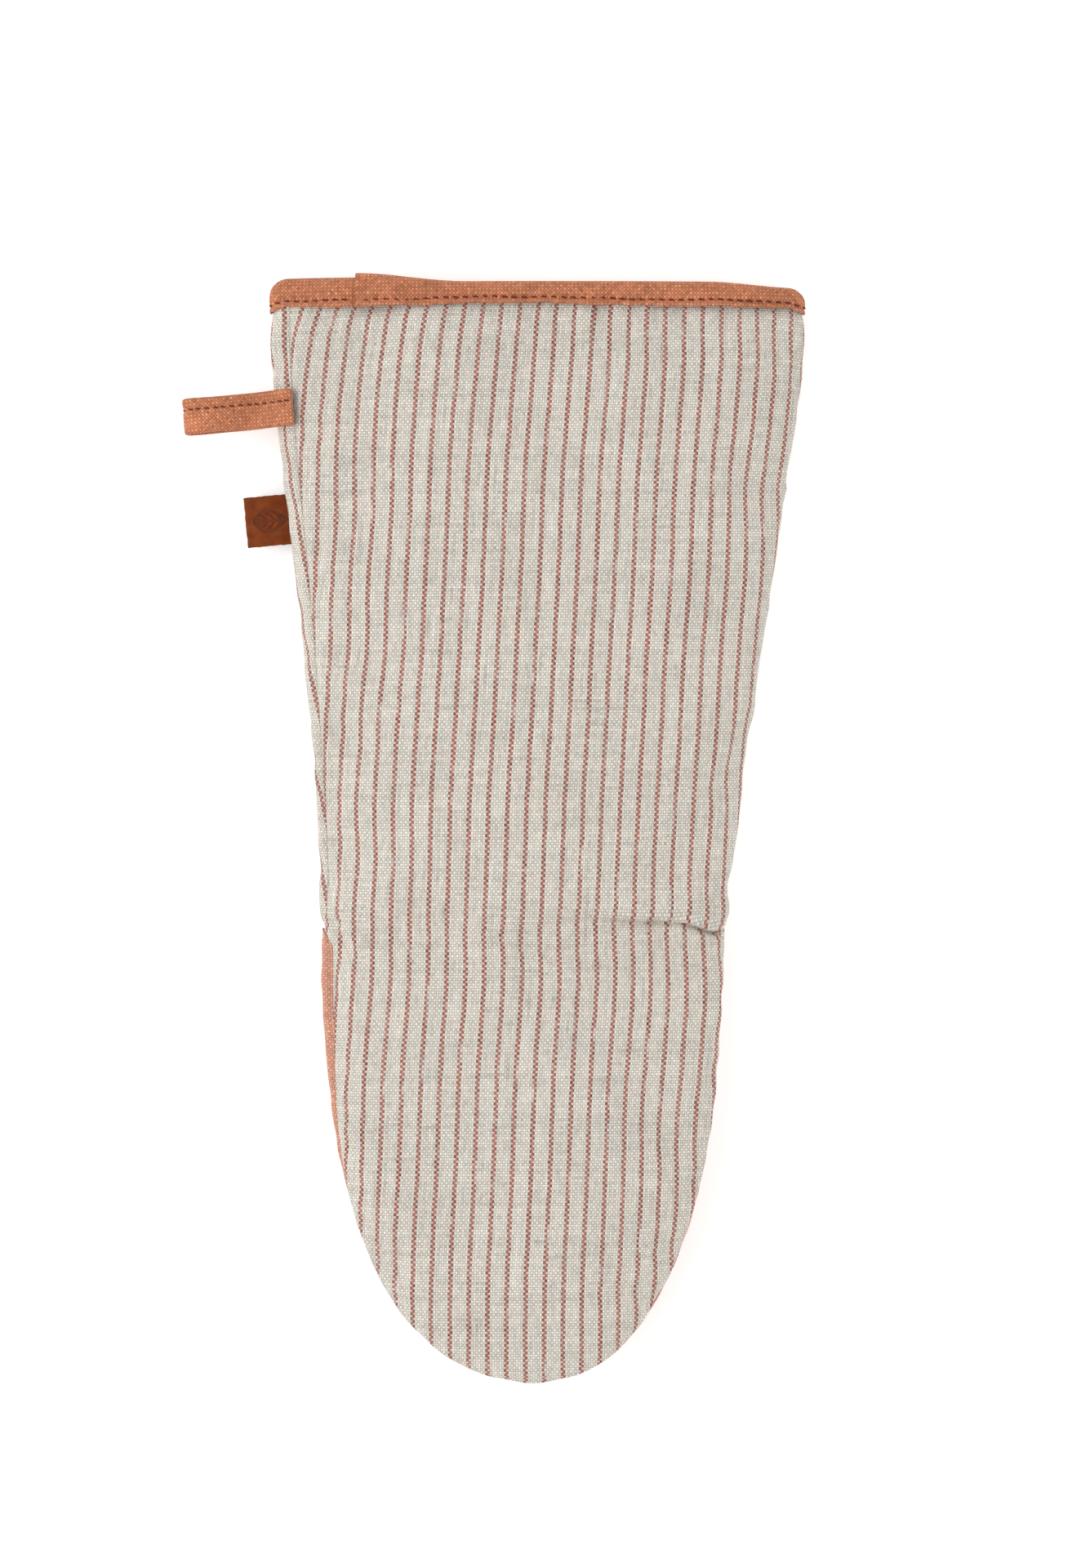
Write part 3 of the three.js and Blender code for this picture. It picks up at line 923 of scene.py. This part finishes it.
def tape_profile():
    """The tape's section, outside, over the rim and inside: share of its width up, and distance out."""
    lip = [(0.0, 0.2), (0.0, 0.65), (0.05, 0.9), (0.13, 0.85), (0.2, 0.5)]
    groove = [(0.245, 0.1), (0.29, 0.45)]
    face = [(0.37, 0.85), (0.5, 1.0), (0.65, 1.0), (0.8, 0.75), (0.91, 0.25), (0.975, -0.5), (1.0, -1.3)]
    outside = lip + groove + face
    inside = [(up, -2.6 - out) for up, out in outside[:-1]]
    return outside + inside[::-1]


def build_binding():
    angles, run, total = mouth_stations(STITCH_STEP / 5)
    rings, weave = [], []
    for angle, s in zip(angles, run):
        tangent, normal = across_mouth(angle)
        lower, upper = rim_heights(angle, s, total)
        stitch = 0.5 + 0.5 * math.cos(2 * math.pi * s / STITCH_STEP)
        lower += 0.25 * stitch + 0.14 * math.sin(s / 4.1) + 0.1 * math.sin(s / 1.7)
        width = upper - lower
        flush = 0.35 + 0.65 * abs(math.sin(angle)) ** 0.35
        swell = 0.14 * math.sin(s / 6.3) + 0.12 * math.sin(s / 2.9 + 1)
        tuck = 0.5 * float(smooth((s - 2) / 5)) - 0.5
        outside, uv = [], []
        for up, out in tape_profile():
            y = lower + up * width
            x, z = cuff_section(min(y, CUFF_Y)).at(angle)
            pit = 0.12 * stitch**2 * bell((up * width - stitch_height(s)) / 0.7)
            raised = out * (flush if out > 0 else 1)
            stand = lifted(s, total) + swell * min(1, 3 * up) + tuck
            raised += stand - pit if out > -1.3 else pit - 0.15 * stand
            outside.append(np.array([x, y, z]) + normal * raised)
            uv.append((s, y - 0.5 * out))
        outside = np.array(outside)
        sideways = np.cross(unit(np.gradient(outside, axis=0)), tangent)
        inwards = 1 if (outside.mean(axis=0) - outside[0]) @ sideways[0] > 0 else -1
        inside = outside + sideways * inwards * TAPE_CLOTH
        rings.append(np.concatenate([outside, inside[::-1]]))
        weave.append(uv + uv[::-1])
    made = loft("binding", rings, weave, TAPE)
    return made


def stitch_row(outside):
    """Where the binding's stitches lie, outside or inside the mouth."""
    angles, run, total = mouth_stations(STITCH_STEP)
    places = []
    for angle, s in zip(angles[1:-1], run[1:-1]):
        if outside and s < 14:
            continue
        tangent, normal = across_mouth(angle)
        y = rim_heights(angle, s, total)[0] + stitch_height(s)
        x, z = cuff_section(y).at(angle)
        out = 0.3 + lifted(s, total) if outside else -3.0
        slanted = unit(tangent + np.array([0, 0.16, 0]))
        places.append((np.array([x, y, z]) + normal * out, slanted, normal if outside else -normal))
    return places


binding = build_binding()
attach(put(binding, ["cuff_binding"]), "cuff")
binding_stitches = stitches("binding_stitches", stitch_row(True) + stitch_row(False),
                            length=2.2, width=0.62, material=TAPE_THREAD)
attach(put(binding_stitches, ["binding_thread"]), "cuff")

# ---------------------------------------------------------------- the hanging loop
LOOP_WIDTH, TAPE_THICK = 11.0, 1.5
LOOP_ROOT = np.array([-61.0, 128.9, 0.0])
LOOP_REACH = 33.4        # from the seam to the loop's tip
EYE_HALF = 3.2           # half the height of the eye, to the middle of the tape
LOOP_STITCH = 2.0        # from the middle of the tape towards the cuff's mouth
LOOP_STEP = 2.6          # from stitch to stitch
LOOP_OUT, LOOP_UP = leftwards(4.6)


def loop_line():
    """The loop's path from the seam out along the top, round the tip and back underneath: distance and z."""
    out = np.linspace(0, LOOP_REACH - EYE_HALF - 0.8, 40)
    middle = lerp(17.4, 10.7, smooth(out / 15))
    half = lerp(0.85, EYE_HALF, smooth((out - 6) / 11))
    turn = np.linspace(math.pi / 2, -math.pi / 2, 22)[1:-1]
    tip = np.stack([out[-1] + (EYE_HALF + 0.8) * np.cos(turn), middle[-1] + EYE_HALF * np.sin(turn)], axis=1)
    top = np.stack([out, middle + half], axis=1)
    low = np.stack([out, middle - half], axis=1)[::-1]
    return np.concatenate([top, tip, low])


def tape_ring():
    """The loop tape's section with rounded edges: across and out, over the top face and back under it."""
    even, half = np.linspace(-1, 1, 27), LOOP_WIDTH / 2
    across = half * (0.3 * np.sin(math.pi / 2 * np.sin(math.pi / 2 * even)) + 0.7 * even)
    out = TAPE_THICK / 2 * np.sqrt(np.clip(1 - np.abs(across / half) ** 14, 0, 1))
    return np.stack([np.concatenate([across, across[-2:0:-1]]), np.concatenate([out, -out[-2:0:-1]])], axis=1)


def loop_frames():
    """Centres, directions, face normals and distances along the loop's path."""
    line = loop_line()
    run = distances(*line.T)
    at = np.arange(0, run[-1], 0.55)
    line = np.stack([np.interp(at, run, line[:, k]) for k in range(2)], axis=1)
    along = unit(np.gradient(line, axis=0))
    centre = LOOP_ROOT + line[:, :1] * LOOP_OUT + line[:, 1:] * UP
    direction = along[:, :1] * LOOP_OUT + along[:, 1:] * UP
    normal = np.cross(direction, LOOP_UP)
    normal *= np.sign(normal[0, 2])
    return centre, direction, normal, at


def build_loop():
    centre, _, normal, at = loop_frames()
    section = tape_ring()
    rings, weave = [], []
    for c, n, s in zip(centre, normal, at):
        width = 1 + 0.02 * math.sin(s / 5)
        off = section[:, 0] - LOOP_STITCH
        puff = 1 - 0.55 * bell(off / 0.8)
        pit = 1 - 0.12 * bell(off / 0.6) * math.cos(2 * math.pi * s / LOOP_STEP)
        rings.append(c + section[:, :1] * width * LOOP_UP + (section[:, 1] * puff * pit)[:, None] * n)
        weave.append(np.stack([np.full(len(section), s), section[:, 0]], axis=1))
    made = loft("loop", rings, weave, TAPE)
    return made


def loop_stitching():
    centre, direction, normal, at = loop_frames()
    places = []
    for mark in np.arange(1.5, at[-1] - 1.5, LOOP_STEP):
        k = np.abs(at - mark).argmin()
        for side in (1, -1):
            place = centre[k] + LOOP_UP * LOOP_STITCH + normal[k] * side * TAPE_THICK / 4
            places.append((place, unit(direction[k] + 0.15 * LOOP_UP), normal[k] * side))
    return stitches("loop_stitches", places, length=1.9, width=0.55, material=TAPE_THREAD)


for made, node, slot in ((build_loop(), "hanging_loop", "terracotta_linen"),
                         (loop_stitching(), "loop_thread", "thread")):
    put(made, [node])
    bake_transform(made)

# ---------------------------------------------------------------- the leather tag
TAG_FROM, TAG_TO = -3.0, 15.2        # along the tag, from the point where its line crosses the mitt's edge
TAG_HALF, TAG_THICK = 7.75, 1.4
TAG_AT = np.array([-61.0, 95.35, 5.6])
TAG_OUT, TAG_UP = leftwards(5.2)


def leaf_motif(a, b):
    """A pressed leaf: a pointed outline with a midrib and slanting veins."""
    a, b = (a - 7.6) / 5.2, b / 5.2
    edge = 0.62 * np.clip(1 - a**2, 0, None)
    outline = bell((np.abs(b) - edge) / 0.09) * (np.abs(a) < 1)
    rib = bell(b / 0.075) * smooth((1.0 - a) / 0.15) * smooth((a + 1.3) / 0.15)
    slant = np.mod(a - np.abs(b) * 1.0 + 0.15, 0.44) - 0.22
    veins = bell(slant / 0.07) * (np.abs(b) < edge - 0.06)
    return np.maximum(np.maximum(outline, rib), 0.9 * veins)


def build_tag():
    long, wide = 150, 126
    a = lerp(TAG_FROM, TAG_TO, np.linspace(0, 1, long))[:, None] * np.ones(wide)
    b = np.linspace(-TAG_HALF, TAG_HALF, wide) * np.ones((long, 1))
    rim = np.minimum(TAG_TO - a, TAG_HALF - np.abs(b))
    round_off = 0.35 * bell(rim / 0.35)
    uneven = 0.05 * waves(a, b, 5, 4, 2) + 0.02 * waves(a, b, 1.6, 5, 3)
    curl = -0.35 * (a / TAG_TO) ** 2 + 0.25 * (b / TAG_HALF) ** 2
    high = TAG_THICK / 2 - round_off - 0.5 * leaf_motif(a, b) + uneven + curl
    low = -TAG_THICK / 2 + round_off + 0.5 * uneven + curl
    rough_a = a + 0.1 * waves(b, 0 * b, 2.2, 4, 8) * (a > TAG_TO - 0.2)
    rough_b = b + 0.08 * waves(a, 0 * a, 2.2, 4, 9) * (np.abs(b) > TAG_HALF - 0.2)
    flat = TAG_AT + rough_a[..., None] * TAG_OUT + rough_b[..., None] * TAG_UP
    made = shell("tag", flat + high[..., None] * UP, flat + low[..., None] * UP,
                 np.stack([a, b], axis=2), LEATHER)
    for material in (LEATHER_EDGE, LEATHER_PRESSED):
        made.data.materials.append(material)
    pressed = (leaf_motif(a, b) > 0.45).ravel()
    kinds = []
    for face in made.data.polygons:
        corner = face.vertices[0]
        steep = abs(face.normal.z) < 0.2 or corner >= len(pressed)
        kinds.append(1 if steep else 2 if pressed[corner] else 0)
    made.data.polygons.foreach_set("material_index", np.array(kinds, np.int32))
    return made


def tag_stitching():
    places = []
    for side in (1.0, -1.0):
        for up in np.arange(-TAG_HALF + 1.6, TAG_HALF - 1.2, 2.4):
            place = TAG_AT + TAG_OUT * 1.8 + TAG_UP * up + UP * side * (TAG_THICK / 2 - 0.05)
            places.append((place, TAG_UP, UP * side))
    return stitches("tag_stitches", places, length=1.9, width=0.5, material=TAG_THREAD)


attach(put(build_tag(), ["leather_tag"]), "leather_tag")
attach(put(tag_stitching(), ["tag_thread"]), "leather_tag")

# ---------------------------------------------------------------- floor, light and camera
PAPER_WHITE = (0.97, 0.97, 0.97)
PAPER_GLOW = 0.3         # the pale floor is lit from below too, as on a light table
WORLD_LIGHT = 0.82
LAMPS = (("key", (-1.1, 0.1, 0.9), 1.3, 7.6), ("fill", (0.8, -0.5, 1.2), 1.2, 2.5))   # metres and watts
FLOOR_HALF, FLOOR_Z = 1500, -0.3
LENS, SENSOR = 100, 36
CAMERA_X, CAMERA_Y, VIEW_LENGTH = 0.0149, 0.0134, 0.4812    # in metres: its place, and how much it takes in


def studio():
    corners = [(x * FLOOR_HALF, y * FLOOR_HALF, FLOOR_Z) for x, y in ((-1, -1), (1, -1), (1, 1), (-1, 1))]
    paper = Shade("paper", roughness=1.0, specular=0.0).glow(PAPER_GLOW).finish(PAPER_WHITE)
    mesh_object("floor", corners, [(0, 1, 2, 3)], material=paper)
    world = bpy.data.worlds.new("studio")
    world.use_nodes = True
    world.node_tree.nodes["Background"].inputs[0].default_value = (1, 1, 1, 1)
    world.node_tree.nodes["Background"].inputs[1].default_value = WORLD_LIGHT
    bpy.context.scene.world = world
    for name, place, size, power in LAMPS:
        lamp = bpy.data.lights.new(name, "AREA")
        lamp.size, lamp.energy = size, power
        made = bpy.data.objects.new(name, lamp)
        made.location = place
        made.rotation_euler = (-Vector(place)).to_track_quat("-Z", "Y").to_euler()
        bpy.context.scene.collection.objects.link(made)


def camera():
    data = bpy.data.cameras.new("camera")
    data.lens, data.sensor_width, data.sensor_fit = LENS, SENSOR, "AUTO"
    data.clip_start, data.clip_end = 0.05, 10
    made = bpy.data.objects.new("camera", data)
    made.location = (CAMERA_X, CAMERA_Y, FOLD_Z * MM + VIEW_LENGTH * LENS / SENSOR)
    bpy.context.scene.collection.objects.link(made)
    bpy.context.scene.camera = made


studio()
camera()
bpy.context.scene.view_settings.view_transform = "Standard"
